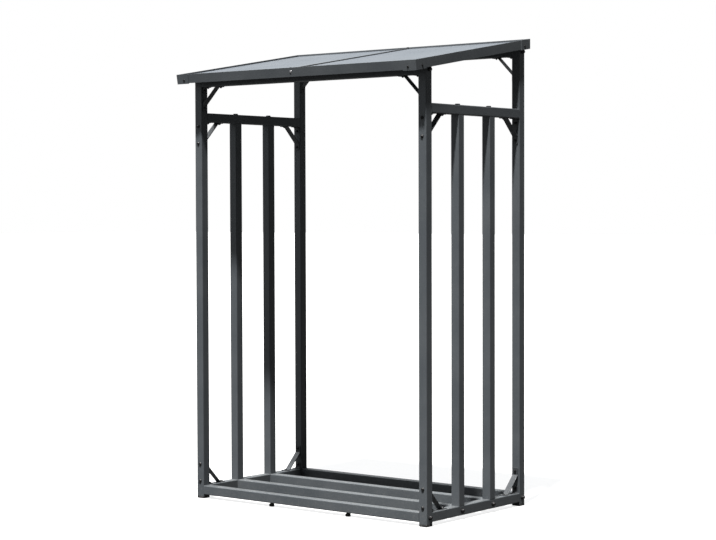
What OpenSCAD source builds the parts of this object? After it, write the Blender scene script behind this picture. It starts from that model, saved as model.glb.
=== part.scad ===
// Open steel log store with a lean-to roof.
// Square-tube posts, rails and beams are joined by knee braces and corner angles,
// and a shallow framed roof of two sheets slopes down towards the front.
// Millimetres, +Z up, +Y towards the back, centred in plan and standing on Z = 0.

/* [Frame] */
// Width over the outer faces of the posts
frame_w = 1170; // [900:10:1600]
// Depth over the outer faces of the posts
frame_d = 655; // [520:5:900]
// Height of the top of the front posts
front_h = 1714; // [1300:1:2100]
// Height of the underside of the upper side rails
side_rail_z = 1536; // [700:1:1560]
// Height of the underside of the base rails
base_rail_z = 16; // [15:1:60]

/* [Tube] */
// Outer size of the square tube
tube = 37; // [30:1:50]
// Wall of the square tube
tube_wall = 1.5; // [1:0.1:3]
// Outer corner radius of the square tube
tube_r = 3.5; // [3.2:0.1:5]
// Plate that closes a bolted tube end
end_plate = 3; // [2:0.5:6]

/* [Feet] */
// Height of a post foot below its tube
post_foot_h = 10; // [6:1:14]
// Depth of a post foot inside its tube
post_foot_plug = 18; // [10:1:40]
// Bevel round the bottom of a post foot
post_foot_bevel = 3; // [1:0.5:4]
// Diameter of a round foot under a base rail
base_foot_d = 21; // [16:1:28]
// Height of the wide part of a round foot
base_foot_pad = 11; // [5:1:13]
// Diameter of the neck of a round foot
base_foot_neck = 13; // [10:1:15]

/* [Braces] */
// Distance from a corner to the outside of a brace's strut
brace_leg = 75; // [55:1:120]
// Length of a brace's bolted flange
brace_flange = 25; // [18:1:32]
// Width of the braces and corner angles
brace_w = 25; // [16:1:28]
// Thickness of the brace strip
brace_t = 3; // [2:0.5:5]
// Leg of a corner angle
angle_leg = 28; // [26:1:36]
// Thickness of a corner angle
angle_t = 2.5; // [2:0.5:4]
// Distance from a corner to a corner angle's bolts
angle_bolt = 18; // [16:1:20]

/* [Bolts] */
// Shank diameter of a brace bolt
bolt_d = 6; // [5:0.5:8]
// Head diameter of a brace bolt
bolt_head_d = 14; // [10:0.5:15]
// Head height of a brace bolt
bolt_head_h = 5; // [3:0.5:6]
// Shank diameter of a frame bolt
frame_bolt_d = 8; // [6:0.5:10]
// Head diameter of a frame bolt
frame_bolt_head_d = 16; // [13:0.5:18]
// Head height of a frame bolt
frame_bolt_head_h = 13; // [4:0.5:13]
// Head diameter of a slat bolt
slat_bolt_head_d = 20; // [16:0.5:24]
// Head height of a slat bolt
slat_bolt_head_h = 5; // [3:0.5:8]
// Extra diameter of a bolt hole
hole_gap = 0.8; // [0.4:0.1:1.5]

/* [Roof] */
// Slope of the roof, rising towards the back
roof_slope = 9.5; // [4:0.5:16]
// Reach of the roof past the front posts
overhang_front = 82; // [40:1:140]
// Reach of the roof past the back posts
overhang_back = 11; // [4:0.5:20]
// Reach of the roof past the side faces of the posts
overhang_side = 15.5; // [15.5:0.5:30]
// Height of the fascia strips
fascia_h = 37; // [32:0.5:50]
// Thickness of the fascia strips
fascia_t = 2; // [1.5:0.5:3]
// Height of the fascia above the roof sheets
rim = 7; // [3:0.5:12]
// Height of the rafters
rafter_h = 17; // [14:1:24]
// Width of the rafters
rafter_w = 30; // [26:1:40]
// Wall of the rafters
rafter_wall = 1.5; // [1:0.1:2.5]
// Thickness of the roof sheets
sheet_t = 1; // [0.8:0.1:2]
// Gap between the two roof sheets
seam = 2; // [1:0.5:5]
// Width of the folded strip that covers the gap
seam_strip_w = 10; // [8:1:20]
// Height of the folded strip
seam_strip_h = 4; // [3:0.5:6]
// Reach of the strip's turned-up ends past the rim
seam_strip_tab = 1; // [0.5:0.5:3]
// Length of a corner cap along each side
cap_leg = 60; // [45:1:90]
// Thickness of a corner cap
cap_t = 2; // [1:0.5:3]
// Reach of a corner cap below the fascia
cap_lip = 2.5; // [0.5:0.5:4]
// Distance from a roof corner to a cap screw
cap_screw = 36; // [26:1:40]
// Height of a cap screw above the lower edge of its cap
cap_screw_high = 14.5; // [8:0.5:28]
// Head diameter of a roof screw
screw_head_d = 10; // [7:0.5:12]
// Head height of a roof screw
screw_head_h = 2.5; // [1.5:0.5:4]

/* [Hidden] */
$fn = 48;

LEFT = -1;
RIGHT = 1;
STEEL = [0.24, 0.26, 0.28];
STEEL_DARK = [0.16, 0.17, 0.19];
SHEET = [0.72, 0.75, 0.78];
PLASTIC = [0.05, 0.05, 0.05];
ZINC = [0.55, 0.56, 0.58];

// Overlap that makes a cut pass cleanly through a face
cut = 1;
// Play between a foot's plug and the inside of its tube
plug_gap = 0.2;
// Hexagon of a nut over its corners, and its height
nut_d = 11.5;
nut_h = 5;
// Washer under a frame bolt's head, past the head and thick
washer_rim = 1.5;
washer_t = 1;
// Small end of a domed head, as a share of its diameter, and of a slat bolt's flatter head
dome = 0.7;
slat_dome = 0.85;
// Depth that a bolt reaches past the last plate it holds
bolt_reach = 6;

post_x = frame_w / 2 - tube / 2;
inner_x = frame_w / 2 - tube;
span_y = frame_d - 2 * tube;
base_top = base_rail_z + tube;
// Two slats share a side's length in three equal gaps
slat_gap = (span_y - 2 * tube) / 3;
slat_y = [for (i = [0, 1]) tube + slat_gap + i * (slat_gap + tube) + tube / 2];
slat_len = side_rail_z - base_top;
brace_bolt = brace_leg + brace_flange / 2;

// Underside of the rafters over a place Y: it rests on the front post tops at Y = 0
function roof_z(y) = front_h + y * tan(roof_slope);
back_h = roof_z(frame_d - tube);
sheet_z = rafter_h + sheet_t;
rim_z = sheet_z + rim;
roof_y0 = -overhang_front;
roof_y1 = frame_d + overhang_back;
roof_x = frame_w / 2 + overhang_side;
tray_x = roof_x - fascia_t;
// Heights of the roof screws over the rafters' underside, and reach of their heads at the front
middle_screw_z = rafter_h / 2;
cap_screw_z = rim_z - fascia_h - cap_lip + cap_screw_high;
screw_reach = screw_head_h * cos(roof_slope) + screw_head_d * dome / 2 * sin(roof_slope);
// Plan centre, from the outermost place at the front, a cap's edge or a screw's head, and at the back
front_most = min(
    edge_y(roof_y0 - cap_t, rim_z),
    edge_y(roof_y0 - cap_t, cap_screw_z) - screw_reach,
    edge_y(roof_y0, middle_screw_z) - screw_reach
);
back_most = roof_y1 + cap_t + screw_head_h;
centre_y = (front_most + back_most) / 2;

// The roof's front edge is square to the slope and its back edge is plumb: this is where an
// edge at Y in the rafters' underside lies at a height over it
function edge_y(y, high) = y - (y < frame_d / 2 ? high * sin(roof_slope) * cos(roof_slope) : 0);

// Height of the post tops and of the beams' upper faces
function frame_top(at_back) = at_back ? back_h : front_h;

module place() {
    translate([0, -centre_y, 0]) children();
}

// Things drawn for the right side are mirrored for the left
module side(s) {
    mirror([s == LEFT ? 1 : 0, 0, 0]) children();
}

// Things drawn at the front are turned round for the back
module row(at_back) {
    translate([0, at_back ? frame_d : 0, 0]) mirror([0, at_back ? 1 : 0, 0]) children();
}

// ---- profiles and hardware ----

module rounded_square(size, r) {
    half = size / 2 - r;
    square([size, 2 * half], center = true);
    square([2 * half, size], center = true);
    for (x = [-half, half], y = [-half, half]) {
        translate([x, y]) circle(r = r);
    }
}

module tube_ring() {
    difference() {
        rounded_square(tube, tube_r);
        rounded_square(tube - 2 * tube_wall, tube_r - tube_wall);
    }
}

// A tube up +Z from the origin, with the ends named in closed shut by a plate
module tube_z(len, closed = []) {
    linear_extrude(len) tube_ring();
    for (end = closed) {
        translate([0, 0, end * (len - end_plate)]) {
            linear_extrude(end_plate) rounded_square(tube - tube_wall, tube_r);
        }
    }
}

module tube_x(len, closed = []) {
    rotate([90, 0, 90]) tube_z(len, closed);
}

module tube_y(len, closed = []) {
    translate([0, len, 0]) rotate([90, 0, 0]) tube_z(len, closed);
}

module hole(d, len) {
    translate([0, 0, -cut]) cylinder(d = d + hole_gap, h = len + 2 * cut);
}

// Brace bolt: its domed head lies below Z = 0 and its shank runs up
module brace_bolt_up(len, nut = false) {
    translate([0, 0, -bolt_head_h]) cylinder(d1 = bolt_head_d * dome, d2 = bolt_head_d, h = bolt_head_h);
    cylinder(d = bolt_d, h = len);
    if (nut) {
        translate([0, 0, len - bolt_reach]) cylinder(d = nut_d, h = nut_h, $fn = 6);
    }
}

// Frame bolt: its tall domed cap and washer lie below Z = 0 and its shank runs up
module frame_bolt_up(len) {
    translate([0, 0, -frame_bolt_head_h]) {
        cylinder(d1 = frame_bolt_head_d * dome, d2 = frame_bolt_head_d, h = frame_bolt_head_h - washer_t);
    }
    translate([0, 0, -washer_t]) cylinder(d = frame_bolt_head_d + washer_rim, h = washer_t);
    cylinder(d = frame_bolt_d, h = len);
}

// Slat bolt: its low wide head lies below Z = 0 and its shank runs up
module slat_bolt_up(len) {
    rim_h = slat_bolt_head_h / 2;
    translate([0, 0, -rim_h]) cylinder(d = slat_bolt_head_d, h = rim_h);
    translate([0, 0, -slat_bolt_head_h]) {
        cylinder(d1 = slat_bolt_head_d * slat_dome, d2 = slat_bolt_head_d, h = slat_bolt_head_h - rim_h);
    }
    cylinder(d = frame_bolt_d, h = len);
}

// ---- posts, rails, beams and slats ----

// Heights of the bolts that pass through a post from front to back
post_bolt_z = [
    base_top + angle_bolt, base_top + brace_bolt,
    side_rail_z - brace_bolt, side_rail_z - angle_bolt
];

module post(s, at_back) {
    top = frame_top(at_back);
    beam_z = top - tube / 2;
    color(STEEL) place() side(s) row(at_back) difference() {
        translate([post_x, tube / 2, post_foot_h]) tube_z(top - post_foot_h);
        for (z = post_bolt_z) {
            translate([post_x, 0, z]) rotate([-90, 0, 0]) hole(bolt_d, tube);
        }
        for (z = [base_rail_z + tube / 2, beam_z]) {
            translate([inner_x, tube / 2, z]) rotate([0, 90, 0]) hole(frame_bolt_d, tube);
        }
        for (drop = [angle_bolt, brace_bolt]) {
            translate([inner_x, tube / 2, top - tube - drop]) rotate([0, 90, 0]) hole(bolt_d, tube / 2);
        }
    }
}

module post_foot() {
    wide = tube * 2;
    difference() {
        linear_extrude(post_foot_h) rounded_square(tube, tube_r);
        for (a = [0, 90, 180, 270]) {
            rotate([0, 0, a]) translate([tube / 2, 0, 0]) rotate([0, 45, 0]) {
                cube([post_foot_bevel * sqrt(2), wide, post_foot_bevel * sqrt(2)], center = true);
            }
        }
    }
    inner = tube - 2 * tube_wall - 2 * plug_gap;
    translate([0, 0, post_foot_h]) {
        linear_extrude(post_foot_plug) rounded_square(inner, tube_r - tube_wall);
    }
}

module post_feet() {
    color(PLASTIC) place() for (s = [LEFT, RIGHT], at_back = [false, true]) {
        side(s) row(at_back) difference() {
            translate([post_x, tube / 2, 0]) post_foot();
            translate([inner_x, tube / 2, base_rail_z + tube / 2]) rotate([0, 90, 0]) {
                hole(frame_bolt_d, tube);
            }
        }
    }
}

module base_rail(at_back) {
    len = 2 * inner_x;
    color(STEEL) place() row(at_back) translate([-inner_x, tube / 2, base_rail_z + tube / 2]) {
        bolted_tube_x(len);
    }
}

// A tube between two posts or rails, with a bolt hole in each closed end
module bolted_tube_x(len) {
    difference() {
        tube_x(len, closed = [0, 1]);
        rotate([0, 90, 0]) hole(frame_bolt_d, len);
    }
}

module base_side_rail(s) {
    color(STEEL) place() side(s) difference() {
        translate([post_x, tube, base_rail_z + tube / 2]) tube_y(span_y);
        for (y = slat_y) {
            translate([inner_x, y, base_rail_z + tube / 2]) rotate([0, 90, 0]) hole(frame_bolt_d, tube);
        }
        for (y = side_bolt_y) {
            translate([post_x, y, base_top - tube / 2]) hole(bolt_d, tube / 2);
        }
    }
}

// Places along a side of the bolts through the angles' and braces' flanges
side_bolt_y = [
    tube + angle_bolt, tube + brace_bolt,
    frame_d - tube - brace_bolt, frame_d - tube - angle_bolt
];

module floor_bar(y) {
    color(STEEL) place() translate([-inner_x, y, base_rail_z + tube / 2]) bolted_tube_x(2 * inner_x);
}

module side_rail(s) {
    color(STEEL) place() side(s) difference() {
        translate([post_x, tube, side_rail_z + tube / 2]) tube_y(span_y);
        for (y = slat_y) {
            translate([post_x, y, side_rail_z]) hole(frame_bolt_d, tube);
        }
        for (y = side_bolt_y) {
            translate([post_x, y, side_rail_z]) hole(bolt_d, tube / 2);
        }
    }
}

module slat(s, y) {
    color(STEEL) place() side(s) difference() {
        translate([post_x, y, base_top]) tube_z(slat_len, closed = [1]);
        translate([post_x, y, side_rail_z - tube]) hole(frame_bolt_d, tube);
    }
}

module top_beam(at_back) {
    top = frame_top(at_back);
    color(STEEL) place() row(at_back) difference() {
        translate([-inner_x, tube / 2, top - tube / 2]) bolted_tube_x(2 * inner_x);
        for (x = [angle_bolt, brace_bolt], s = [LEFT, RIGHT]) {
            translate([s * (inner_x - x), tube / 2, top - tube]) hole(bolt_d, tube / 2);
        }
    }
}

module base_feet() {
    color(PLASTIC) place() for (s = [LEFT, RIGHT], at_back = [false, true]) {
        side(s) row(at_back) translate([frame_w / 6, tube / 2, 0]) {
            cylinder(d = base_foot_d, h = base_foot_pad);
            cylinder(d = base_foot_neck, h = base_rail_z);
        }
    }
}

// ---- braces and angles, drawn in a corner with legs along +X and +Y ----

module brace_outline() {
    inside = brace_leg - brace_t * sqrt(2);
    end = brace_leg + brace_flange;
    polygon([
        [end, 0], [inside, 0], [0, inside], [0, end],
        [brace_t, end], [brace_t, brace_leg - brace_t], [brace_leg - brace_t, brace_t], [end, brace_t]
    ]);
}

module angle_outline() {
    difference() {
        square(angle_leg);
        translate([angle_t, angle_t]) square(angle_leg);
    }
}

// A strip of the given outline, drilled in both legs
module drilled_strip(bolt_at) {
    difference() {
        translate([0, 0, -brace_w / 2]) linear_extrude(brace_w) children();
        translate([bolt_at, 0, 0]) rotate([-90, 0, 0]) hole(bolt_d, brace_t);
        translate([0, bolt_at, 0]) rotate([0, 90, 0]) hole(bolt_d, brace_t);
    }
}

module brace() {
    drilled_strip(brace_bolt) brace_outline();
}

module angle() {
    drilled_strip(angle_bolt) angle_outline();
}

// Corner under a top beam: one leg along the beam, one down the post
module top_corner(s, at_back) {
    top = frame_top(at_back);
    side(s) row(at_back) translate([inner_x, tube / 2, top - tube]) {
        rotate([90, 0, 180]) mirror([0, 1, 0]) children();
    }
}

// Corner under an upper side rail
module side_corner(s, at_back) {
    side(s) row(at_back) translate([post_x, tube, side_rail_z]) {
        rotate([90, 0, 90]) mirror([0, 1, 0]) children();
    }
}

// Corner above a base side rail
module base_corner(s, at_back) {
    side(s) row(at_back) translate([post_x, tube, base_top]) rotate([90, 0, 90]) children();
}

module top_braces(at_back) {
    color(STEEL_DARK) place() for (s = [LEFT, RIGHT]) top_corner(s, at_back) brace();
}

module side_braces(s) {
    color(STEEL_DARK) place() for (at_back = [false, true]) side_corner(s, at_back) brace();
}

module base_braces(s) {
    color(STEEL_DARK) place() for (at_back = [false, true]) base_corner(s, at_back) brace();
}

module top_angles() {
    color(STEEL_DARK) place() for (s = [LEFT, RIGHT], at_back = [false, true]) {
        top_corner(s, at_back) angle();
    }
}

module side_angles() {
    color(STEEL_DARK) place() for (s = [LEFT, RIGHT], at_back = [false, true]) {
        side_corner(s, at_back) angle();
    }
}

module base_angles() {
    color(STEEL_DARK) place() for (s = [LEFT, RIGHT], at_back = [false, true]) {
        base_corner(s, at_back) angle();
    }
}

// ---- bolts ----

// Bolts that hold the beams and the base rails between the posts
module frame_bolts() {
    reach = tube + end_plate + bolt_reach;
    color(ZINC) place() for (s = [LEFT, RIGHT], at_back = [false, true]) {
        top = frame_top(at_back);
        for (z = [base_rail_z, top - tube]) {
            side(s) row(at_back) translate([frame_w / 2, tube / 2, z + tube / 2]) {
                rotate([0, -90, 0]) frame_bolt_up(reach);
            }
        }
    }
}

module floor_bar_bolts() {
    reach = tube + end_plate + bolt_reach;
    color(ZINC) place() for (s = [LEFT, RIGHT], y = slat_y) {
        side(s) translate([frame_w / 2, y, base_rail_z + tube / 2]) rotate([0, -90, 0]) frame_bolt_up(reach);
    }
}

module slat_bolts() {
    reach = tube + end_plate + bolt_reach;
    color(ZINC) place() for (s = [LEFT, RIGHT], y = slat_y) {
        side(s) translate([post_x, y, side_rail_z + tube]) rotate([180, 0, 0]) slat_bolt_up(reach);
    }
}

// Bolts through the posts, with nuts on the flanges of the angles and braces
module post_bolts() {
    color(ZINC) place() for (s = [LEFT, RIGHT], at_back = [false, true], z = post_bolt_z) {
        is_angle = z == post_bolt_z[0] || z == post_bolt_z[3];
        plate = is_angle ? angle_t : brace_t;
        side(s) row(at_back) translate([post_x, 0, z]) rotate([-90, 0, 0]) {
            brace_bolt_up(tube + plate + bolt_reach, nut = true);
        }
    }
}

// Two bolts whose heads stand on the flanges of a brace or angle
module corner_bolts(bolt_at, plate) {
    translate([bolt_at, plate, 0]) rotate([90, 0, 0]) brace_bolt_up(plate + bolt_reach);
}

module both_corner_bolts(bolt_at, plate) {
    corner_bolts(bolt_at, plate);
    mirror([1, -1, 0]) corner_bolts(bolt_at, plate);
}

module top_brace_bolts() {
    color(ZINC) place() for (s = [LEFT, RIGHT], at_back = [false, true]) {
        top_corner(s, at_back) {
            both_corner_bolts(brace_bolt, brace_t);
            both_corner_bolts(angle_bolt, angle_t);
        }
    }
}

module side_brace_bolts() {
    color(ZINC) place() for (s = [LEFT, RIGHT], at_back = [false, true]) {
        side_corner(s, at_back) {
            corner_bolts(brace_bolt, brace_t);
            corner_bolts(angle_bolt, angle_t);
        }
    }
}

module base_brace_bolts() {
    color(ZINC) place() for (s = [LEFT, RIGHT], at_back = [false, true]) {
        base_corner(s, at_back) {
            corner_bolts(brace_bolt, brace_t);
            corner_bolts(angle_bolt, angle_t);
        }
    }
}

// ---- roof ----

// Place, as Y and Z, at a height over the rafters' underside on an edge at Y
function roof_point(y, high) = [edge_y(y, high), roof_z(edge_y(y, high)) + high];

// A prism along X between two edges Y, whose lower and upper faces lie at heights low and
// high over the rafters' underside
module roof_prism(x0, x1, y0, y1, low, high) {
    translate([x0, 0, 0]) rotate([90, 0, 90]) linear_extrude(x1 - x0) polygon([
        roof_point(y0, low), roof_point(y1, low), roof_point(y1, high), roof_point(y0, high)
    ]);
}

module rafter(x) {
    lip = fascia_t + sheet_t;
    color(STEEL_DARK) place() difference() {
        roof_prism(x - rafter_w / 2, x + rafter_w / 2, roof_y0 + lip, roof_y1 - lip, 0, rafter_h);
        roof_prism(
            x - rafter_w / 2 + rafter_wall, x + rafter_w / 2 - rafter_wall,
            roof_y0, roof_y1, rafter_wall, rafter_h - rafter_wall
        );
    }
}

// A flat sheet whose front and back edges fold down inside the fascia
module roof_sheet(s) {
    color(SHEET) place() side(s) difference() {
        roof_prism(seam / 2, tray_x, roof_y0 + fascia_t, roof_y1 - fascia_t, 0, sheet_z);
        roof_prism(
            -cut, tray_x + cut, roof_y0 + fascia_t + sheet_t, roof_y1 - fascia_t - sheet_t,
            -cut, rafter_h
        );
    }
}

// An inverted channel along the gap between the sheets, turned up against both rims
module seam_strip() {
    half = seam_strip_w / 2;
    y0 = roof_y0 + fascia_t;
    y1 = roof_y1 - fascia_t;
    high = sheet_z + seam_strip_h;
    color(STEEL_DARK) place() {
        for (end = [y0, y1 - sheet_t]) {
            roof_prism(-half, half, end, end + sheet_t, sheet_z, rim_z + seam_strip_tab);
        }
        difference() {
            roof_prism(-half, half, y0, y1, sheet_z, high);
            roof_prism(
                -half + sheet_t, half - sheet_t, y0 + sheet_t, y1 - sheet_t,
                sheet_z - cut, high - sheet_t
            );
        }
    }
}

module fascia_end(y0) {
    color(STEEL) place() roof_prism(-roof_x, roof_x, y0, y0 + fascia_t, rim_z - fascia_h, rim_z);
}

module fascia_side(s) {
    color(STEEL) place() side(s) {
        roof_prism(tray_x, roof_x, roof_y0 + fascia_t, roof_y1 - fascia_t, rim_z - fascia_h, rim_z);
    }
}

// A folded plate outside each roof corner
module corner_cap(s, at_back) {
    y0 = at_back ? roof_y1 - cap_leg : roof_y0 - cap_t;
    y1 = at_back ? roof_y1 + cap_t : roof_y0 + cap_leg;
    end0 = at_back ? roof_y1 : roof_y0 - cap_t;
    low = rim_z - fascia_h - cap_lip;
    side(s) {
        roof_prism(roof_x, roof_x + cap_t, y0, y1, low, rim_z);
        roof_prism(roof_x - cap_leg, roof_x + cap_t, end0, end0 + cap_t, low, rim_z);
    }
}

module roof_corner_caps() {
    color(STEEL) place() for (s = [LEFT, RIGHT], at_back = [false, true]) corner_cap(s, at_back);
}

module roof_screw() {
    cylinder(d1 = screw_head_d, d2 = screw_head_d * dome, h = screw_head_h);
}

// A screw on the front or the back edge, with its face that far outside the fascia
module edge_screw(x, at_back, face, high) {
    y = at_back ? roof_y1 + face : roof_y0 - face;
    at = roof_point(y, high);
    tilt = at_back ? -90 : 90 + roof_slope;
    translate([x, at[0], at[1]]) rotate([tilt, 0, 0]) roof_screw();
}

module side_screw(at_back) {
    y = at_back ? roof_y1 - cap_screw : roof_y0 + cap_screw;
    translate([roof_x + cap_t, y, roof_z(y) + cap_screw_z]) rotate([0, 90, 0]) roof_screw();
}

module roof_screws() {
    color(ZINC) place() for (at_back = [false, true]) {
        edge_screw(0, at_back, 0, middle_screw_z);
        for (s = [LEFT, RIGHT]) {
            side(s) side_screw(at_back);
            edge_screw(s * (roof_x - cap_screw), at_back, cap_t, cap_screw_z);
        }
    }
}

post(LEFT, false);  // post_front_left
post(RIGHT, false);  // post_front_right
post(LEFT, true);  // post_back_left
post(RIGHT, true);  // post_back_right
post_feet();
base_rail(false);  // base_rail_front
base_rail(true);  // base_rail_back
base_side_rail(LEFT);  // base_rail_left
base_side_rail(RIGHT);  // base_rail_right
floor_bar(slat_y[0]);  // floor_bar_front
floor_bar(slat_y[1]);  // floor_bar_rear
base_feet();
side_rail(LEFT);  // side_rail_left
side_rail(RIGHT);  // side_rail_right
slat(LEFT, slat_y[0]);  // left_slat_front
slat(LEFT, slat_y[1]);  // left_slat_rear
slat(RIGHT, slat_y[0]);  // right_slat_front
slat(RIGHT, slat_y[1]);  // right_slat_rear
top_beam(false);  // top_beam_front
top_beam(true);  // top_beam_back
top_braces(false);  // front_top_braces
top_braces(true);  // back_top_braces
side_braces(LEFT);  // left_top_braces
side_braces(RIGHT);  // right_top_braces
base_braces(LEFT);  // left_base_braces
base_braces(RIGHT);  // right_base_braces
top_angles();
side_angles();
base_angles();
rafter(-(tray_x - rafter_w / 2));  // rafter_left
rafter(0);  // rafter_middle
rafter(tray_x - rafter_w / 2);  // rafter_right
roof_sheet(LEFT);  // roof_sheet_left
roof_sheet(RIGHT);  // roof_sheet_right
seam_strip();  // roof_seam_strip
fascia_end(roof_y0);  // fascia_front
fascia_end(roof_y1 - fascia_t);  // fascia_back
fascia_side(LEFT);  // fascia_left
fascia_side(RIGHT);  // fascia_right
roof_corner_caps();
frame_bolts();
floor_bar_bolts();
slat_bolts();
post_bolts();
top_brace_bolts();
side_brace_bolts();
base_brace_bolts();
roof_screws();
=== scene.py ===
import math

import bmesh
import bpy
from mathutils import Matrix, Vector


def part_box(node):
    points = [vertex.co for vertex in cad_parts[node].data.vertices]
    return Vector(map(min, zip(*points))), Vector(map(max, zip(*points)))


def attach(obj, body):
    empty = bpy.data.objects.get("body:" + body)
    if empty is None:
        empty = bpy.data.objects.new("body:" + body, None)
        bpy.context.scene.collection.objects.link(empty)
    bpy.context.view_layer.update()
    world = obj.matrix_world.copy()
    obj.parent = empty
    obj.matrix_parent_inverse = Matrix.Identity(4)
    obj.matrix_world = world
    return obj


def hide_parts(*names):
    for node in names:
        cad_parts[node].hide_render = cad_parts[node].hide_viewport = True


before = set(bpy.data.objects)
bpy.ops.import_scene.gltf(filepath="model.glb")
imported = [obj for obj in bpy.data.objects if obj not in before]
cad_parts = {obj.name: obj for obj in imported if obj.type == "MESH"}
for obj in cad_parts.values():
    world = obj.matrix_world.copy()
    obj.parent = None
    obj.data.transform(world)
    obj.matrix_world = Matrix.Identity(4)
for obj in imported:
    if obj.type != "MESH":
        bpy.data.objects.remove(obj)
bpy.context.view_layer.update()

# ---- sizes of the finer pieces, in metres ----

MM = 0.001
TURN = 48  # sides of a turned piece, a multiple of 6 so that a hexagon fits it

BRACE_LEG = 75 * MM
BRACE_T = 3 * MM
BRACE_BEND = 5 * MM
BRACKET_W = 25 * MM
ANGLE_T = 2.5 * MM
ANGLE_BEND = 3.2 * MM
STRIP_CORNER = 4 * MM
STRIP_EDGE = 0.5 * MM

SMALL_HEAD_H = 5 * MM
SMALL_SOCKET = 4 * MM
WIDE_HEAD_H = 5 * MM
WIDE_SOCKET = 5 * MM
SCREW_SOCKET = 3 * MM
SOCKET_DEPTH = 0.55  # share of a domed head's height
SOCKET_EDGE = 0.12 * MM
HEAD_LIP = 0.5 * MM
SCREW_LIP = 0.4 * MM
HEAD_EDGE = 0.1 * MM
CAP_H = 13 * MM
WASHER_T = 1 * MM
NUT_H = 5 * MM
NUT_HALF = 5 * MM
NUT_EDGE_IN = 0.5 * MM
NUT_EDGE_OUT = 0.6 * MM
THREAD_END = 1 * MM
THREAD_RIDGES = 3

POST_FOOT_CORNER = 3.5 * MM
POST_FOOT_SOLE = 3 * MM
POST_FOOT_INSET = 3.6 * MM  # of the plug, from the tube's outside
BASE_FOOT_PAD = 11 * MM
BASE_FOOT_NECK = 6.5 * MM
BASE_FOOT_ROUND = 2 * MM
BASE_FOOT_WAIST = 0.8 * MM  # how far the waist is drawn in
BASE_FOOT_SHOULDER = 1.2 * MM

FOLD_EDGE = 0.7 * MM
SHEET_EDGE = 0.35 * MM
RAFTER_EDGE = 0.6 * MM

# ---- angles, in degrees ----

ROUNDED_ABOVE = 40.0  # an edge that turns by more is rounded
FLAT_BELOW = 0.5  # faces that turn by less are joined
SMOOTH_TURNED = 35.0  # faces that meet by less are shaded as one surface
SMOOTH_FOOT = 40.0
SMOOTH_STRIP = 50.0
SMOOTH_SHEET = 60.0

# ---- colours, linear ----

FRAME_DARK = (0.042, 0.048, 0.054)
FRAME_LIGHT = (0.052, 0.058, 0.064)
# Darker copy of the frame's coat: painted shade, for the braces, angles, rafters and seam strip, which are
# mostly seen from below and in shade.
SHADED_BRACE_DARK = (0.022, 0.025, 0.029)
SHADED_BRACE_LIGHT = (0.03, 0.033, 0.037)
COAT_SPECKLE = (0.11, 0.12, 0.13)
COAT_RUBBED = (0.16, 0.165, 0.17)
COAT_DUST = (0.23, 0.215, 0.19)
SHEET_DARK = (0.06, 0.069, 0.081)
SHEET_LIGHT = (0.07, 0.08, 0.093)
SHEET_DIRT = (0.16, 0.16, 0.156)
PLASTIC_DARK = (0.011, 0.011, 0.012)
PLASTIC_LIGHT = (0.02, 0.02, 0.021)
PLASTIC_SCUFFED = (0.07, 0.07, 0.07)
PLASTIC_DUST = (0.14, 0.13, 0.115)
BLACKENED_DARK = (0.006, 0.006, 0.0065)
BLACKENED_LIGHT = (0.012, 0.012, 0.013)
PLATED_DARK = (0.42, 0.42, 0.43)
PLATED_LIGHT = (0.55, 0.55, 0.56)
BOLT_RUBBED = (0.16, 0.16, 0.165)
FLOOR_SEEN = (0.2, 0.2, 0.2, 1.0)
FLOOR_IN_BOUNCES = (0.045, 0.045, 0.045, 1.0)
WHITE = (1.0, 1.0, 1.0, 1.0)
COOL_LIGHT = (0.93, 0.97, 1.0, 1.0)

# ---- surfaces: the range of roughness; bumps as a depth in metres and a strength ----

COAT_ROUGH = (0.40, 0.50)
COAT_BUMPS = (0.00012, 0.6)
SHEET_ROUGH = (0.4, 0.48)
SHEET_BUMPS = (0.004, 0.12)
PLASTIC_ROUGH = (0.5, 0.62)
PLASTIC_BUMPS = (0.0001, 0.5)
BLACKENED_ROUGH = (0.3, 0.42)
PLATED_ROUGH = (0.22, 0.34)
BOLT_BUMPS = (0.00004, 0.4)

# ---- light and camera; a direction is where the light comes from ----

KEY_FROM = (0.12, -0.39, 1.0)
KEY_COLOUR = (1.0, 0.985, 0.96)
KEY_ENERGY = 13.4
KEY_ANGLE = 3  # degrees across, as the fill's
FILL_FROM = (-0.3, 1.0, 0.3)
FILL_COLOUR = (0.95, 0.98, 1.0)
FILL_ENERGY = 3.2
FILL_ANGLE = 12
BACK_LEFT_LIGHT = 0.74
FRONT_LEFT_LIGHT = 0.46
FRONT_LEFT_REST = 0.04  # what is left of it on the other side
HIGH_LEFT_LIGHT = 3.0
FLOOR_GLOW = 0.8
FLOOR_REACH = 60.0

CAMERA_X = 4.658
CAMERA_BEFORE = 5.832  # in front of the middle of the posts
CAMERA_Z = 1.189
CAMERA_LENS = 93.3  # millimetres, as the sensor
CAMERA_SENSOR = 36.0
CAMERA_YAW = 38.61  # degrees, as the other two
CAMERA_PITCH = -1.945
CAMERA_ROLL = -0.172
CAMERA_REACH = 200.0


# ---- node groups and materials ----

def new_group(name, inputs, outputs):
    """An empty shader node group with the named float inputs and outputs."""
    group = bpy.data.node_groups.new(name, "ShaderNodeTree")
    for label, value in inputs.items():
        socket = group.interface.new_socket(label, in_out="INPUT", socket_type="NodeSocketFloat")
        socket.default_value = value
    for label in outputs:
        group.interface.new_socket(label, in_out="OUTPUT", socket_type="NodeSocketFloat")
    return group, group.nodes.new("NodeGroupInput"), group.nodes.new("NodeGroupOutput")


def maths(tree, operation, a, b):
    """A Math node; a and b are numbers or sockets."""
    node = tree.nodes.new("ShaderNodeMath")
    node.operation = operation
    for socket, value in zip(node.inputs, (a, b)):
        if isinstance(value, (int, float)):
            socket.default_value = value
        else:
            tree.links.new(value, socket)
    return node.outputs[0]


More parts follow.
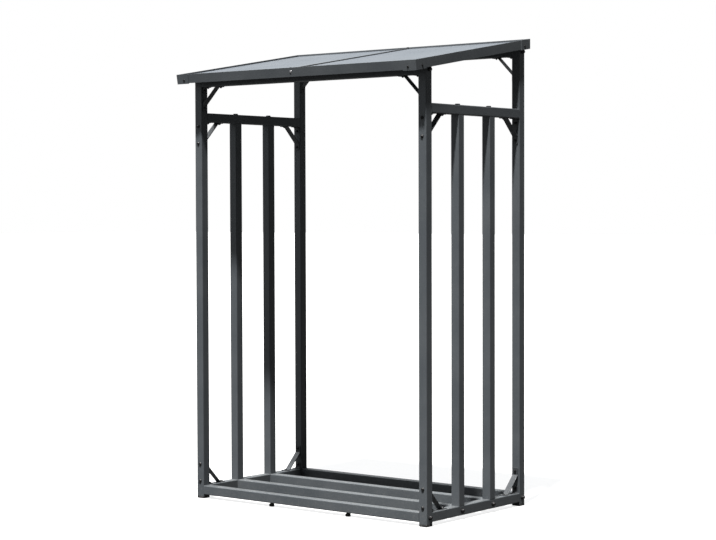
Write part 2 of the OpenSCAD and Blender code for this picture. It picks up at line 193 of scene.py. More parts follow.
def spread(tree, value, low, high, out_low, out_high):
    """Maps a socket's range low..high to out_low..out_high, with smooth ends."""
    node = tree.nodes.new("ShaderNodeMapRange")
    node.interpolation_type = "SMOOTHSTEP"
    tree.links.new(value, node.inputs["Value"])
    for label, number in (("From Min", low), ("From Max", high), ("To Min", out_low), ("To Max", out_high)):
        node.inputs[label].default_value = number
    return node.outputs["Result"]


def noise(tree, scale, detail=3.0, roughness=0.55, stretch=None):
    """Noise in the object's own metres; scale is a number or a socket."""
    place = tree.nodes.new("ShaderNodeTexCoord").outputs["Object"]
    if stretch:
        mapping = tree.nodes.new("ShaderNodeMapping")
        mapping.inputs["Scale"].default_value = stretch
        tree.links.new(place, mapping.inputs["Vector"])
        place = mapping.outputs["Vector"]
    node = tree.nodes.new("ShaderNodeTexNoise")
    tree.links.new(place, node.inputs["Vector"])
    if isinstance(scale, (int, float)):
        node.inputs["Scale"].default_value = scale
    else:
        tree.links.new(scale, node.inputs["Scale"])
    node.inputs["Detail"].default_value = detail
    node.inputs["Roughness"].default_value = roughness
    return node.outputs["Fac"]


def make_coat_grain():
    """Fine orange-peel texture of a baked coating, with a broad unevenness in tone."""
    group, given, out = new_group(
        "coat_grain", {"Grain Scale": 900.0, "Tone Scale": 5.0}, ["Height", "Tone", "Speckle"]
    )
    group.links.new(noise(group, given.outputs["Grain Scale"], 2.0), out.inputs["Height"])
    tone = noise(group, given.outputs["Tone Scale"], 4.0, 0.6)
    group.links.new(spread(group, tone, 0.3, 0.7, 0.0, 1.0), out.inputs["Tone"])
    speckle = noise(group, maths(group, "MULTIPLY", given.outputs["Grain Scale"], 0.35), 1.0)
    group.links.new(spread(group, speckle, 0.58, 0.72, 0.0, 1.0), out.inputs["Speckle"])
    return group


def make_settled_dust():
    """Mask of pale dust: thin on faces that look up, and splashed on near the ground."""
    inputs = {"Top": 0.5, "Splash Height": 0.12, "Splash": 0.3}
    group, given, out = new_group("settled_dust", inputs, ["Mask"])
    shape = group.nodes.new("ShaderNodeNewGeometry")
    split = group.nodes.new("ShaderNodeSeparateXYZ")
    group.links.new(shape.outputs["Normal"], split.inputs[0])
    patches = spread(group, noise(group, 38.0, 5.0, 0.65), 0.35, 0.75, 0.15, 1.0)
    lying = maths(group, "MULTIPLY", spread(group, split.outputs["Z"], 0.55, 0.95, 0.0, 1.0), patches)
    lying = maths(group, "MULTIPLY", lying, given.outputs["Top"])
    place = group.nodes.new("ShaderNodeTexCoord")
    height = group.nodes.new("ShaderNodeSeparateXYZ")
    group.links.new(place.outputs["Object"], height.inputs[0])
    near_ground = maths(group, "DIVIDE", height.outputs["Z"], given.outputs["Splash Height"])
    near_ground = spread(group, near_ground, 0.0, 1.0, 1.0, 0.0)
    drops = spread(group, noise(group, 140.0, 3.0, 0.7), 0.5, 0.68, 0.0, 1.0)
    splash = maths(group, "MULTIPLY", maths(group, "MULTIPLY", near_ground, drops), given.outputs["Splash"])
    group.links.new(maths(group, "MAXIMUM", lying, splash), out.inputs["Mask"])
    return group


def make_worn_edge():
    """Mask along outside edges, broken up, where a coating thins and rubs."""
    group, given, out = new_group("worn_edge", {"Radius": 0.0012, "Amount": 0.5}, ["Mask"])
    rounded = group.nodes.new("ShaderNodeBevel")
    rounded.samples = 4
    group.links.new(given.outputs["Radius"], rounded.inputs["Radius"])
    flat = group.nodes.new("ShaderNodeNewGeometry")
    dot = group.nodes.new("ShaderNodeVectorMath")
    dot.operation = "DOT_PRODUCT"
    group.links.new(rounded.outputs["Normal"], dot.inputs[0])
    group.links.new(flat.outputs["Normal"], dot.inputs[1])
    edge = spread(group, dot.outputs["Value"], 0.86, 0.995, 1.0, 0.0)
    broken = spread(group, noise(group, 60.0, 4.0, 0.7), 0.4, 0.65, 0.2, 1.0)
    worn = maths(group, "MULTIPLY", maths(group, "MULTIPLY", edge, broken), given.outputs["Amount"])
    group.links.new(worn, out.inputs["Mask"])
    return group


COAT_GRAIN = make_coat_grain()
SETTLED_DUST = make_settled_dust()
WORN_EDGE = make_worn_edge()


def place_group(tree, group, **values):
    """A group node with its own values; underscores in the names stand for spaces."""
    node = tree.nodes.new("ShaderNodeGroup")
    node.node_tree = group
    for label, value in values.items():
        node.inputs[label.replace("_", " ")].default_value = value
    return node


def blend_colour(tree, mask, under, over):
    """Mixes two colours by a mask; under and over are colours or sockets."""
    node = tree.nodes.new("ShaderNodeMix")
    node.data_type = "RGBA"
    tree.links.new(mask, node.inputs["Factor"])
    for socket, colour in ((node.inputs[6], under), (node.inputs[7], over)):
        if isinstance(colour, tuple):
            socket.default_value = (*colour, 1.0)
        else:
            tree.links.new(colour, socket)
    return node.outputs[2]


def new_material(name):
    """A material with its node tree and its shader."""
    material = bpy.data.materials.new(name)
    material.use_nodes = True
    return material, material.node_tree, material.node_tree.nodes["Principled BSDF"]


def raise_bumps(tree, shader, height, depth, strength):
    """Bumps the shader's surface by a height socket; depth is in metres."""
    bump = tree.nodes.new("ShaderNodeBump")
    bump.inputs["Strength"].default_value = strength
    bump.inputs["Distance"].default_value = depth
    tree.links.new(height, bump.inputs["Height"])
    tree.links.new(bump.outputs["Normal"], shader.inputs["Normal"])


def make_powder_coat(name, dark, light, dust):
    """Anthracite powder coat: fine texture, slightly uneven tone, rubbed edges and a little dust."""
    material, tree, shader = new_material(name)
    grain = place_group(tree, COAT_GRAIN, Grain_Scale=950.0, Tone_Scale=4.5)
    settled = place_group(tree, SETTLED_DUST, Top=dust, Splash_Height=0.12, Splash=0.12)
    worn = place_group(tree, WORN_EDGE, Radius=0.0011, Amount=0.2)
    colour = blend_colour(tree, grain.outputs["Tone"], dark, light)
    speckle = maths(tree, "MULTIPLY", grain.outputs["Speckle"], 0.25)
    colour = blend_colour(tree, speckle, colour, COAT_SPECKLE)
    colour = blend_colour(tree, worn.outputs["Mask"], colour, COAT_RUBBED)
    colour = blend_colour(tree, settled.outputs["Mask"], colour, COAT_DUST)
    tree.links.new(colour, shader.inputs["Base Color"])
    rough = spread(tree, grain.outputs["Tone"], 0.0, 1.0, *COAT_ROUGH)
    rough = maths(tree, "ADD", rough, maths(tree, "MULTIPLY", settled.outputs["Mask"], 0.3))
    tree.links.new(rough, shader.inputs["Roughness"])
    shader.inputs["Specular IOR Level"].default_value = 0.5
    raise_bumps(tree, shader, grain.outputs["Height"], *COAT_BUMPS)
    return material


def make_roof_coat():
    """Smooth coated sheet, very slightly wavy, with dried water marks."""
    material, tree, shader = new_material("roof_coat")
    grain = place_group(tree, COAT_GRAIN, Grain_Scale=420.0, Tone_Scale=3.0)
    marks = spread(tree, noise(tree, 9.0, 6.0, 0.7, stretch=(1.0, 0.35, 1.0)), 0.42, 0.8, 0.0, 0.16)
    spots = spread(tree, noise(tree, 150.0, 2.0, 0.6), 0.66, 0.76, 0.0, 0.2)
    dirt = maths(tree, "MAXIMUM", marks, spots)
    colour = blend_colour(tree, grain.outputs["Tone"], SHEET_DARK, SHEET_LIGHT)
    colour = blend_colour(tree, dirt, colour, SHEET_DIRT)
    tree.links.new(colour, shader.inputs["Base Color"])
    tree.links.new(spread(tree, dirt, 0.0, 0.25, *SHEET_ROUGH), shader.inputs["Roughness"])
    shader.inputs["Specular IOR Level"].default_value = 0.3
    waves = noise(tree, 3.2, 1.0, stretch=(1.0, 2.2, 1.0))
    fine = maths(tree, "MULTIPLY", grain.outputs["Height"], 0.012)
    raise_bumps(tree, shader, maths(tree, "ADD", waves, fine), *SHEET_BUMPS)
    return material


def make_moulded_plastic():
    """Matt black moulded plastic with a fine spark texture, scuffed and dusty near the ground."""
    material, tree, shader = new_material("moulded_plastic")
    grain = place_group(tree, COAT_GRAIN, Grain_Scale=1400.0, Tone_Scale=30.0)
    settled = place_group(tree, SETTLED_DUST, Top=0.5, Splash_Height=0.03, Splash=0.3)
    worn = place_group(tree, WORN_EDGE, Radius=0.001, Amount=0.45)
    colour = blend_colour(tree, grain.outputs["Tone"], PLASTIC_DARK, PLASTIC_LIGHT)
    colour = blend_colour(tree, worn.outputs["Mask"], colour, PLASTIC_SCUFFED)
    colour = blend_colour(tree, settled.outputs["Mask"], colour, PLASTIC_DUST)
    tree.links.new(colour, shader.inputs["Base Color"])
    tree.links.new(spread(tree, grain.outputs["Tone"], 0.0, 1.0, *PLASTIC_ROUGH), shader.inputs["Roughness"])
    raise_bumps(tree, shader, grain.outputs["Height"], *PLASTIC_BUMPS)
    return material


def make_bolt_finish(name, dark, light, rough, metallic):
    """Plated or blackened bolt steel: slightly uneven, brighter where a tool has touched its edges."""
    material, tree, shader = new_material(name)
    grain = place_group(tree, COAT_GRAIN, Grain_Scale=1800.0, Tone_Scale=120.0)
    worn = place_group(tree, WORN_EDGE, Radius=0.0005, Amount=0.3)
    colour = blend_colour(tree, grain.outputs["Tone"], dark, light)
    colour = blend_colour(tree, worn.outputs["Mask"], colour, BOLT_RUBBED)
    tree.links.new(colour, shader.inputs["Base Color"])
    shader.inputs["Metallic"].default_value = metallic
    tree.links.new(spread(tree, grain.outputs["Tone"], 0.0, 1.0, *rough), shader.inputs["Roughness"])
    shader.inputs["Specular IOR Level"].default_value = 0.3
    raise_bumps(tree, shader, grain.outputs["Height"], *BOLT_BUMPS)
    return material


FRAME_COAT = make_powder_coat("frame_powder_coat", FRAME_DARK, FRAME_LIGHT, dust=0.16)
# The braces, angles, rafters and seam strip take a darker copy of the frame's coat: painted shade.
PAINTED_SHADE_COAT = make_powder_coat("brace_coat_painted_shade", SHADED_BRACE_DARK, SHADED_BRACE_LIGHT, dust=0.14)
ROOF_COAT = make_roof_coat()
PLASTIC = make_moulded_plastic()
BLACK_BOLT = make_bolt_finish("black_bolt", BLACKENED_DARK, BLACKENED_LIGHT, BLACKENED_ROUGH, metallic=0.0)
BRIGHT_SCREW = make_bolt_finish("bright_screw", PLATED_DARK, PLATED_LIGHT, PLATED_ROUGH, metallic=0.9)


# ---- reading the frame ----

def corners(points):
    """Lowest and highest corner of some points."""
    low = Vector([min(p[i] for p in points) for i in range(3)])
    high = Vector([max(p[i] for p in points) for i in range(3)])
    return low, high


def solids(node):
    """The separate solids of a CAD node, each as a list of its points."""
    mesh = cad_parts[node].data
    spots = [tuple(round(c, 5) for c in v.co) for v in mesh.vertices]
    leader = {spot: spot for spot in spots}

    def lead(spot):
        while leader[spot] != spot:
            leader[spot] = leader[leader[spot]]
            spot = leader[spot]
        return spot

    for edge in mesh.edges:
        a, b = (lead(spots[i]) for i in edge.vertices)
        leader[a] = b
    groups = {}
    for spot in leader:
        groups.setdefault(lead(spot), []).append(Vector(spot))
    return list(groups.values())


def axis_vector(axis, sign=1.0):
    """A unit vector along an axis, or against it."""
    vector = Vector((0.0, 0.0, 0.0))
    vector[axis] = sign
    return vector


def turned_to(direction, place):
    """Matrix that turns +Z to direction and moves the origin to place."""
    return Matrix.Translation(place) @ direction.to_track_quat("Z", "Y").to_matrix().to_4x4()


# ---- making pieces ----

def finish_piece(name, mesh_maker, node, material, smooth_angle=SMOOTH_TURNED):
    """Makes one object from what mesh_maker adds to an empty mesh, in place of a CAD node."""
    bm = bmesh.new()
    mesh_maker(bm)
    bmesh.ops.recalc_face_normals(bm, faces=bm.faces)
    limit = math.radians(smooth_angle)
    for face in bm.faces:
        face.smooth = True
    for edge in bm.edges:
        edge.smooth = len(edge.link_faces) == 2 and edge.calc_face_angle(0.0) < limit
    mesh = bpy.data.meshes.new(name)
    bm.to_mesh(mesh)
    bm.free()
    piece = bpy.data.objects.new(name, mesh)
    bpy.context.scene.collection.objects.link(piece)
    mesh.materials.append(material)
    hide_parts(node)
    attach(piece, "root")
    return piece


def hexagon_radius(half_width, angle):
    """Distance from the middle to a hexagon's side, in the direction of angle."""
    sixth = math.pi / 3
    return half_width / math.cos((angle % sixth) - sixth / 2)


def add_turned(bm, rings, matrix):
    """A closed turned solid. Each ring is (shape, half width, height), the shape round or hex."""
    rows = []
    for shape, half, height in rings:
        row = []
        for i in range(TURN):
            angle = 2 * math.pi * i / TURN
            r = hexagon_radius(half, angle) if shape == "hex" else half
            row.append(bm.verts.new(matrix @ Vector((r * math.cos(angle), r * math.sin(angle), height))))
        rows.append(row)
    for low, high in zip(rows, rows[1:]):
        for i in range(TURN):
            j = (i + 1) % TURN
            bm.faces.new((low[i], low[j], high[j], high[i]))
    bm.faces.new(rows[0][::-1])
    bm.faces.new(rows[-1])


def dome_rings(radius, base, top, socket):
    """Rings from a socket's floor, over a domed head, down to its rim at height base."""
    depth = (base - top) * SOCKET_DEPTH
    opening = socket / 2 * 1.25
    rings = [
        ("hex", socket / 2 * 0.9, top + depth),
        ("hex", socket / 2, top + depth * 0.9),
        ("hex", socket / 2, top + SOCKET_EDGE),
        ("round", opening, top),
    ]
    steps = 9
    start = math.acos(opening / radius)
    for i in range(1, steps + 1):
        angle = start * (1 - i / steps)
        rise = math.sin(angle) / math.sin(start)
        rings.append(("round", radius * math.cos(angle), base - (base - top) * rise))
    return rings


def small_bolt_rings(radius, shank, length, nut_half=0.0):
    """Button-head bolt, head below Z = 0; a nut and a little thread may show at its far end."""
    rings = dome_rings(radius, -HEAD_LIP, -SMALL_HEAD_H, SMALL_SOCKET)
    rings += [("round", radius, -HEAD_EDGE), ("round", radius - HEAD_EDGE, 0.0), ("round", shank, 0.0)]
    if nut_half:
        low = length - THREAD_END - NUT_H
        high = low + NUT_H
        rings += [
            ("round", shank, low), ("round", nut_half * 0.96, low), ("hex", nut_half, low + NUT_EDGE_IN),
            ("hex", nut_half, high - NUT_EDGE_OUT), ("round", nut_half * 0.94, high), ("round", shank, high),
        ]
        ridge = THREAD_END / 4
        for i in range(THREAD_RIDGES):
            rings.append(("round", shank * (0.9 if i % 2 == 0 else 1.0), high + ridge * (i + 1)))
    rings.append(("round", shank * 0.86, length))
    return rings


def nut_bolt_rings(radius, shank, length):
    """Button-head bolt with its nut."""
    return small_bolt_rings(radius, shank, length, NUT_HALF)


def capped_bolt_rings(radius, shank, length):
    """Frame bolt under a tall domed cap on a washer, both below Z = 0."""
    side = radius - 0.8 * MM
    shoulder = -CAP_H * 0.5
    rings = []
    steps = 12
    for i in range(steps + 1):
        angle = math.pi / 2 * (0.9 - 0.9 * i / steps)
        rise = math.sin(angle) / math.sin(math.pi * 0.45)
        rings.append(("round", (side - 0.4 * MM) * math.cos(angle), shoulder + (-CAP_H - shoulder) * rise))
    rings += [
        ("round", side, -WASHER_T - 0.8 * MM), ("round", side, -WASHER_T - 0.2 * MM),
        ("round", side - 0.3 * MM, -WASHER_T), ("round", radius - 0.25 * MM, -WASHER_T),
        ("round", radius, -WASHER_T * 0.75), ("round", radius, -WASHER_T * 0.15),
        ("round", radius - 0.15 * MM, 0.0), ("round", shank, 0.0),
        ("round", shank, length - MM), ("round", shank * 0.85, length),
    ]
    return rings


def wide_bolt_rings(radius, shank, length):
    """Slat bolt with a low, wide, flat head and a hexagon socket, below Z = 0."""
    floor = WIDE_HEAD_H * 0.5
    socket = WIDE_SOCKET / 2
    top = -WIDE_HEAD_H
    return [
        ("hex", socket * 0.9, top + floor), ("hex", socket, top + floor * 0.9),
        ("hex", socket, top + SOCKET_EDGE), ("round", WIDE_SOCKET * 0.62, top),
        ("round", radius * 0.8, top), ("round", radius * 0.88, top * 0.94),
        ("round", radius * 0.95, top * 0.8), ("round", radius * 0.99, top * 0.6),
        ("round", radius, top * 0.45), ("round", radius, -0.2 * MM), ("round", radius - 0.2 * MM, 0.0),
        ("round", shank, 0.0), ("round", shank, length - MM), ("round", shank * 0.85, length),
    ]


def bolt_lie(points, head_h):
    """Where a CAD bolt lies: the matrix that puts its seat at Z = 0 with the shank up, its half width,
    its shank's half width and its length past the seat."""
    low, high = corners(points)
    size = high - low
    axis = max(range(3), key=lambda i: size[i])
    middle = (low + high) / 2
    near = 0.02 * MM

    def half_width_at(end):
        flat = [p - middle for p in points if abs(p[axis] - end) < near]
        return max(math.hypot(*[p[i] for i in range(3) if i != axis]) for p in flat)

    ends = (low[axis], high[axis])
    widths = [half_width_at(end) for end in ends]
    head = 0 if widths[0] > widths[1] else 1
    sign = 1.0 if head == 0 else -1.0
    seat = middle.copy()
    seat[axis] = ends[head] + sign * head_h
    across = [size[i] / 2 for i in range(3) if i != axis]
    return turned_to(axis_vector(axis, sign), seat), max(across), widths[1 - head], size[axis] - head_h


def make_bolts(node, head_h, bolt_rings):
    """Turned bolts in place of a CAD node's; bolt_rings gives a bolt's outline from its measures."""
    def add(bm):
        for points in solids(node):
            matrix, half, shank, length = bolt_lie(points, head_h)
            add_turned(bm, bolt_rings(half, shank, length), matrix)
    finish_piece(node + "_fine", add, node, BLACK_BOLT)


def screw_lie(points):
    """Where a CAD roof screw lies: the matrix that puts its seat at Z = 0 with its head below, its radius
    and its height."""
    low, high = corners(points)
    middle = (low + high) / 2
    reach = max((p - middle).length for p in points)
    inner_share = 0.86  # the head's narrower top ring lies within this share of the reach
    rings = ([], [])
    for p in points:
        rings[(p - middle).length < reach * inner_share].append(p)
    seat, top = (sum(ring, Vector()) / len(ring) for ring in rings)
    inward = seat - top
    return turned_to(inward.normalized(), seat), (rings[0][0] - seat).length, inward.length


def make_roof_screws(name, in_middle, material):
    """Pan-head screws with a small hexagon socket, in the middle of the fascia or in the caps."""
    def add(bm):
        for points in solids("roof_screws"):
            low, high = corners(points)
            if (low.x < 0 < high.x) != in_middle:
                continue
            matrix, radius, height = screw_lie(points)
            rings = dome_rings(radius, -SCREW_LIP, -height, SCREW_SOCKET)
            rings += [("round", radius, -HEAD_EDGE), ("round", radius - HEAD_EDGE, 0.0)]
            add_turned(bm, rings, matrix)
    finish_piece(name, add, "roof_screws", material)


def filleted(path, radius):
    """A flat path of (x, y) corners with its inner corners rounded."""
    steps = 7
    points = [Vector(p) for p in path]
    out = [points[0]]
    for before, corner, after in zip(points, points[1:], points[2:]):
        a = (before - corner).normalized()
        b = (after - corner).normalized()
        half = a.angle(b) / 2
        reach = radius / math.tan(half)
        centre = corner + (a + b).normalized() * (radius / math.sin(half))
        start = corner + a * reach - centre
        end = corner + b * reach - centre
        for i in range(steps + 1):
            out.append(centre + turned_between(start, end, i / steps))
    out.append(points[-1])
    return out


def turned_between(start, end, share):
    """Turns the flat vector start part of the way to end."""
    angle = math.atan2(start.x * end.y - start.y * end.x, start.dot(end)) * share
    c, s = math.cos(angle), math.sin(angle)
    return Vector((start.x * c - start.y * s, start.x * s + start.y * c))


def add_strip(bm, path, width, thick, matrix):
    """A flat bar bent along a path, with rounded corners at its two ends."""
    lengths = [0.0]
    for a, b in zip(path, path[1:]):
        lengths.append(lengths[-1] + (b - a).length)
    total = lengths[-1]
    stations = set(lengths)
    steps = 6
    for i in range(steps + 1):
        inset = STRIP_CORNER * (1 - math.cos(math.pi / 2 * i / steps))
        stations.update((inset, total - inset))
    stations = sorted(s for s in stations if 0 <= s <= total)
    rows = []
    for s in stations:
        k = max(i for i in range(len(path) - 1) if lengths[i] <= s + 1e-9)
        share = (s - lengths[k]) / (lengths[k + 1] - lengths[k])
        at = path[k].lerp(path[k + 1], share)
        if 0 < k and share < 1e-6:
            along = (path[k + 1] - path[k - 1]).normalized()
        else:
            along = (path[k + 1] - path[k]).normalized()
        normal = Vector((-along.y, along.x))
        end = min(s, total - s)
        half = width / 2
        if end < STRIP_CORNER:
            half -= STRIP_CORNER - math.sqrt(max(0.0, STRIP_CORNER ** 2 - (STRIP_CORNER - end) ** 2))
        row = []
        for side, face in ((-1, -1), (1, -1), (1, 1), (-1, 1)):
            spot = at + normal * (face * thick / 2)
            row.append(bm.verts.new(matrix @ Vector((spot.x, spot.y, side * half))))
        rows.append(row)
    for low, high in zip(rows, rows[1:]):
        for i in range(4):
            j = (i + 1) % 4
            bm.faces.new((low[i], low[j], high[j], high[i]))
    bm.faces.new(rows[0][::-1])
    bm.faces.new(rows[-1])


def corner_lie(points):
    """Matrix from a bracket's own corner, legs along +X and +Y, to where the CAD bracket lies, with its
    leg and its width."""
    low, high = corners(points)
    size = high - low
    width_axis = min(range(3), key=lambda i: abs(size[i] - BRACKET_W))
    legs = [i for i in range(3) if i != width_axis]
    mean = sum(points, Vector()) / len(points)
    corner = (low + high) / 2
    columns = []
    for axis in legs:
        at_low = mean[axis] - low[axis] < high[axis] - mean[axis]
        corner[axis] = low[axis] if at_low else high[axis]
        columns.append(axis_vector(axis, 1.0 if at_low else -1.0))
    columns.append(axis_vector(width_axis))
    matrix = Matrix([[column[i] for column in columns] for i in range(3)]).to_4x4()
    matrix.translation = corner
    return matrix, size[legs[0]], size[width_axis]


def make_braces(node):
    """Knee braces: flat strips with a leg at each end and a slanting middle."""
    def add(bm):
        for points in solids(node):
            matrix, leg, width = corner_lie(points)
            bend = BRACE_LEG - BRACE_T * (0.5 + math.sqrt(0.5))
            half = BRACE_T / 2
            path = filleted([(leg, half), (bend, half), (half, bend), (half, leg)], BRACE_BEND)
            add_strip(bm, path, width, BRACE_T, matrix)
    piece = finish_piece(node + "_fine", add, node, PAINTED_SHADE_COAT, SMOOTH_STRIP)
    round_edges(piece, STRIP_EDGE)


def make_angles(node):
    """Small angles with a rounded bend in the corner."""
    def add(bm):
        for points in solids(node):
            matrix, leg, width = corner_lie(points)
            half = ANGLE_T / 2
            path = filleted([(leg, half), (half, half), (half, leg)], ANGLE_BEND)
            add_strip(bm, path, width, ANGLE_T, matrix)
    piece = finish_piece(node + "_fine", add, node, PAINTED_SHADE_COAT, SMOOTH_STRIP)
    round_edges(piece, STRIP_EDGE)


def round_edges(piece, radius):
    """Rounds a piece's sharp edges and keeps its flat faces flat."""
    bevel = piece.modifiers.new("rounded_edges", "BEVEL")
    bevel.width = radius
    bevel.segments = 3
    bevel.limit_method = "ANGLE"
    bevel.angle_limit = math.radians(ROUNDED_ABOVE)
    bevel.harden_normals = False
    normals = piece.modifiers.new("even_normals", "WEIGHTED_NORMAL")
    normals.keep_sharp = False


def make_softened(node, material, radius):
    """A copy of a CAD node with clean faces and rounded edges."""
    def add(bm):
        bm.from_mesh(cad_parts[node].data)
        bmesh.ops.remove_doubles(bm, verts=bm.verts, dist=0.005 * MM)
        bmesh.ops.dissolve_limit(bm, angle_limit=math.radians(FLAT_BELOW), verts=bm.verts, edges=bm.edges)
    piece = finish_piece(node + "_fine", add, node, material, SMOOTH_SHEET)
    piece.data.materials.clear()
    piece.data.materials.append(material)
    round_edges(piece, radius)


# ---- feet ----

def rounded_square_ring(size, radius):
    """Points round a square with rounded corners, anticlockwise."""
    steps = 8
    half = size / 2 - radius
    ring = []
    for quarter, (sx, sy) in enumerate(((1, 1), (-1, 1), (-1, -1), (1, -1))):
        for i in range(steps + 1):
            angle = math.pi / 2 * (quarter + i / steps)
            ring.append((sx * half + radius * math.cos(angle), sy * half + radius * math.sin(angle)))
    return ring


def make_post_feet():
    """Moulded caps in the posts' ends: a rounded sole, a shoulder against the tube and a plug."""
    post_low, post_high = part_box("post_front_right")
    tube = post_high.x - post_low.x
    tube_end = post_low.z
    corner = POST_FOOT_CORNER
    sole = POST_FOOT_SOLE
    plug = tube - POST_FOOT_INSET

    def add(bm):
        for points in solids("post_feet"):
            low, high = corners(points)
            x, y = (low.x + high.x) / 2, (low.y + high.y) / 2
            rows = []
            for i in range(7):
                angle = math.pi / 2 * i / 6
                inset = sole * (1 - math.sin(angle))
                rows.append((tube - 2 * inset, max(corner - inset, 0.8 * MM), sole * (1 - math.cos(angle))))
            rows += [
                (tube, corner, tube_end - 0.9 * MM), (tube - 0.5 * MM, corner, tube_end - 0.6 * MM),
                (tube - 0.5 * MM, corner, tube_end), (plug, corner * 0.6, tube_end),
                (plug, corner * 0.6, high.z - MM), (plug - MM, corner * 0.5, high.z),
            ]
            loops = []
            for size, radius, z in rows:
                ring = rounded_square_ring(size, radius)
                loops.append([bm.verts.new((x + px, y + py, z)) for px, py in ring])
            for a, b in zip(loops, loops[1:]):
                for i in range(len(a)):
                    j = (i + 1) % len(a)
                    bm.faces.new((a[i], a[j], b[j], b[i]))
            bm.faces.new(loops[0][::-1])
            bm.faces.new(loops[-1])
    finish_piece("post_feet_fine", add, "post_feet", PLASTIC, SMOOTH_FOOT)


def make_base_feet():
    """Turned screw-in feet: a soft pad with a waist and a ribbed neck under the rail."""
    rail_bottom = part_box("base_rail_front")[0].z

    def add(bm):
        for points in solids("base_feet"):
            low, high = corners(points)
            radius = (high.x - low.x) / 2
            pad = BASE_FOOT_PAD
            neck = BASE_FOOT_NECK
            rings = []
            for i in range(6):
                angle = math.pi / 2 * i / 5
                inset = BASE_FOOT_ROUND * (1 - math.sin(angle))
                rings.append(("round", radius - inset, BASE_FOOT_ROUND * (1 - math.cos(angle))))
            rings += [
                ("round", radius, 4 * MM), ("round", radius - BASE_FOOT_WAIST, 4.6 * MM),
                ("round", radius - BASE_FOOT_WAIST, 6 * MM), ("round", radius, 6.6 * MM),
                ("round", radius, pad - BASE_FOOT_SHOULDER), ("round", radius - BASE_FOOT_SHOULDER, pad),
                ("round", neck, pad), ("round", neck, pad + 1.5 * MM),
                ("round", neck - MM, pad + 2 * MM), ("round", neck - MM, pad + 3.5 * MM),
                ("round", neck, pad + 4 * MM), ("round", neck, rail_bottom),
            ]
            middle = Vector(((low.x + high.x) / 2, (low.y + high.y) / 2, 0.0))
            add_turned(bm, rings, Matrix.Translation(middle))
    finish_piece("base_feet_fine", add, "base_feet", PLASTIC)


# ---- put it together ----

def dress_tubes():
    """The posts, rails, bars, slats and beams keep their CAD shape and take the frame's coat."""
    finer = ("feet", "braces", "angles", "bolts", "screws", "sheet", "strip", "fascia", "caps", "rafter")
    for name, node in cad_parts.items():
        if not any(word in name for word in finer):
            node.data.materials[0] = FRAME_COAT


def build():
    """Every finer piece, in place of its CAD node."""
    dress_tubes()
    make_post_feet()
    make_base_feet()
    for node in ("front_top", "back_top", "left_top", "right_top", "left_base", "right_base"):
        make_braces(node + "_braces")
    for node in ("top_angles", "side_angles", "base_angles"):
        make_angles(node)
    for side in ("left", "right"):
        make_softened("roof_sheet_" + side, ROOF_COAT, SHEET_EDGE)
    for side in ("front", "back", "left", "right"):
        make_softened("fascia_" + side, FRAME_COAT, FOLD_EDGE)
    # The rafters and the roof's seam strip take the darker coat, which paints shade into their colour.
    for side in ("left", "middle", "right"):
        make_softened("rafter_" + side, PAINTED_SHADE_COAT, RAFTER_EDGE)
    make_softened("roof_seam_strip", PAINTED_SHADE_COAT, SHEET_EDGE)
    make_softened("roof_corner_caps", FRAME_COAT, FOLD_EDGE)
    for node in ("frame_bolts", "floor_bar_bolts"):
        make_bolts(node, CAP_H, capped_bolt_rings)
    make_bolts("slat_bolts", WIDE_HEAD_H, wide_bolt_rings)
    make_bolts("post_bolts", SMALL_HEAD_H, nut_bolt_rings)
    for node in ("top_brace_bolts", "side_brace_bolts", "base_brace_bolts"):
        make_bolts(node, SMALL_HEAD_H, small_bolt_rings)
    make_roof_screws("fascia_screws", True, BRIGHT_SCREW)
    make_roof_screws("cap_screws", False, BLACK_BOLT)


# ---- floor, light and camera ----

def make_floor():
    """Pale and slightly self-lit to look at; it throws little light back up."""
    material, tree, shader = new_material("pale_floor")
    shader.inputs["Base Color"].default_value = FLOOR_SEEN
    shader.inputs["Roughness"].default_value = 0.9
    shader.inputs["Specular IOR Level"].default_value = 0.0
    shader.inputs["Emission Color"].default_value = WHITE
    shader.inputs["Emission Strength"].default_value = FLOOR_GLOW
    dim = tree.nodes.new("ShaderNodeBsdfDiffuse")
    dim.inputs["Color"].default_value = FLOOR_IN_BOUNCES
    path = tree.nodes.new("ShaderNodeLightPath")
    mix = tree.nodes.new("ShaderNodeMixShader")
    tree.links.new(path.outputs["Is Camera Ray"], mix.inputs["Fac"])
    tree.links.new(dim.outputs[0], mix.inputs[1])
    tree.links.new(shader.outputs[0], mix.inputs[2])
    tree.links.new(mix.outputs[0], tree.nodes["Material Output"].inputs["Surface"])
    square = [(-1, -1), (1, -1), (1, 1), (-1, 1)]
    mesh = bpy.data.meshes.new("floor")
    mesh.from_pydata([(FLOOR_REACH * x, FLOOR_REACH * y, 0) for x, y in square], [], [(0, 1, 2, 3)])
    mesh.materials.append(material)
    floor = bpy.data.objects.new("floor", mesh)
    bpy.context.scene.collection.objects.link(floor)


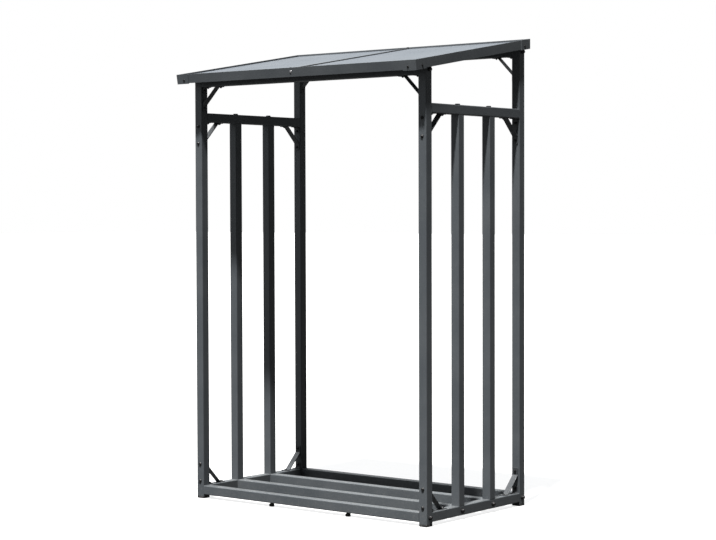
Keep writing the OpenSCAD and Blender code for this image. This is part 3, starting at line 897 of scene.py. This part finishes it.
def make_surround():
    """White to look at. As light it is brightest high on the left, bright behind to the left, fair in
    front to the left and dark elsewhere."""
    world = bpy.data.worlds.new("surround")
    bpy.context.scene.world = world
    world.use_nodes = True
    tree = world.node_tree
    tree.nodes.clear()
    place = tree.nodes.new("ShaderNodeTexCoord")
    split = tree.nodes.new("ShaderNodeSeparateXYZ")
    tree.links.new(place.outputs["Generated"], split.inputs[0])
    behind = maths(tree, "MULTIPLY", split.outputs["Y"], 0.8)
    aside = maths(tree, "MULTIPLY", split.outputs["X"], -0.6)
    back_left = spread(tree, maths(tree, "ADD", aside, behind), 0.3, 0.95, 0.0, BACK_LEFT_LIGHT)
    front_left = maths(tree, "SUBTRACT", aside, behind)
    front_left = spread(tree, front_left, 0.0, 1.0, FRONT_LEFT_REST, FRONT_LEFT_LIGHT)
    leftward = maths(tree, "MULTIPLY", split.outputs["X"], -0.62)
    upward = maths(tree, "MULTIPLY", split.outputs["Z"], 0.78)
    high_left = spread(tree, maths(tree, "ADD", leftward, upward), 0.8, 1.0, 0.0, HIGH_LEFT_LIGHT)
    bright = maths(tree, "ADD", maths(tree, "ADD", back_left, front_left), high_left)
    light = tree.nodes.new("ShaderNodeBackground")
    light.inputs["Color"].default_value = COOL_LIGHT
    tree.links.new(bright, light.inputs["Strength"])
    seen = tree.nodes.new("ShaderNodeBackground")
    seen.inputs["Color"].default_value = WHITE
    seen.inputs["Strength"].default_value = 1.0
    path = tree.nodes.new("ShaderNodeLightPath")
    mix = tree.nodes.new("ShaderNodeMixShader")
    tree.links.new(path.outputs["Is Camera Ray"], mix.inputs["Fac"])
    tree.links.new(light.outputs[0], mix.inputs[1])
    tree.links.new(seen.outputs[0], mix.inputs[2])
    out = tree.nodes.new("ShaderNodeOutputWorld")
    tree.links.new(mix.outputs[0], out.inputs["Surface"])


def make_lamp(name, towards, energy, angle, colour, in_gloss=True):
    """A far-off lamp that shines from the direction towards, and may be left out of gloss."""
    lamp = bpy.data.lights.new(name, "SUN")
    lamp.energy = energy
    lamp.angle = math.radians(angle)
    lamp.color = colour
    light = bpy.data.objects.new(name, lamp)
    light.rotation_euler = Vector(towards).to_track_quat("Z", "Y").to_euler()
    light.visible_glossy = in_gloss
    bpy.context.scene.collection.objects.link(light)


def make_lamps():
    """The key is high in front and a little to the right; the fill is low behind, for the back faces."""
    make_lamp("key", KEY_FROM, KEY_ENERGY, KEY_ANGLE, KEY_COLOUR)
    make_lamp("fill", FILL_FROM, FILL_ENERGY, FILL_ANGLE, FILL_COLOUR, in_gloss=False)


def make_camera():
    """The camera before the front right corner, turned towards the store's middle."""
    camera = bpy.data.cameras.new("camera")
    camera.sensor_width = CAMERA_SENSOR
    camera.lens = CAMERA_LENS
    camera.clip_end = CAMERA_REACH
    seat = bpy.data.objects.new("camera", camera)
    front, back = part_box("post_front_left")[0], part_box("post_back_left")[1]
    seat.location = (CAMERA_X, (front.y + back.y) / 2 - CAMERA_BEFORE, CAMERA_Z)
    turn = Matrix.Rotation(math.radians(CAMERA_YAW), 4, "Z")
    turn = turn @ Matrix.Rotation(math.pi / 2 + math.radians(CAMERA_PITCH), 4, "X")
    turn = turn @ Matrix.Rotation(math.radians(CAMERA_ROLL), 4, "Z")
    seat.rotation_euler = turn.to_euler()
    bpy.context.scene.collection.objects.link(seat)
    bpy.context.scene.camera = seat


build()
make_floor()
make_surround()
make_lamps()
make_camera()
bpy.context.scene.view_settings.view_transform = "Standard"

bpy.context.view_layer.update()
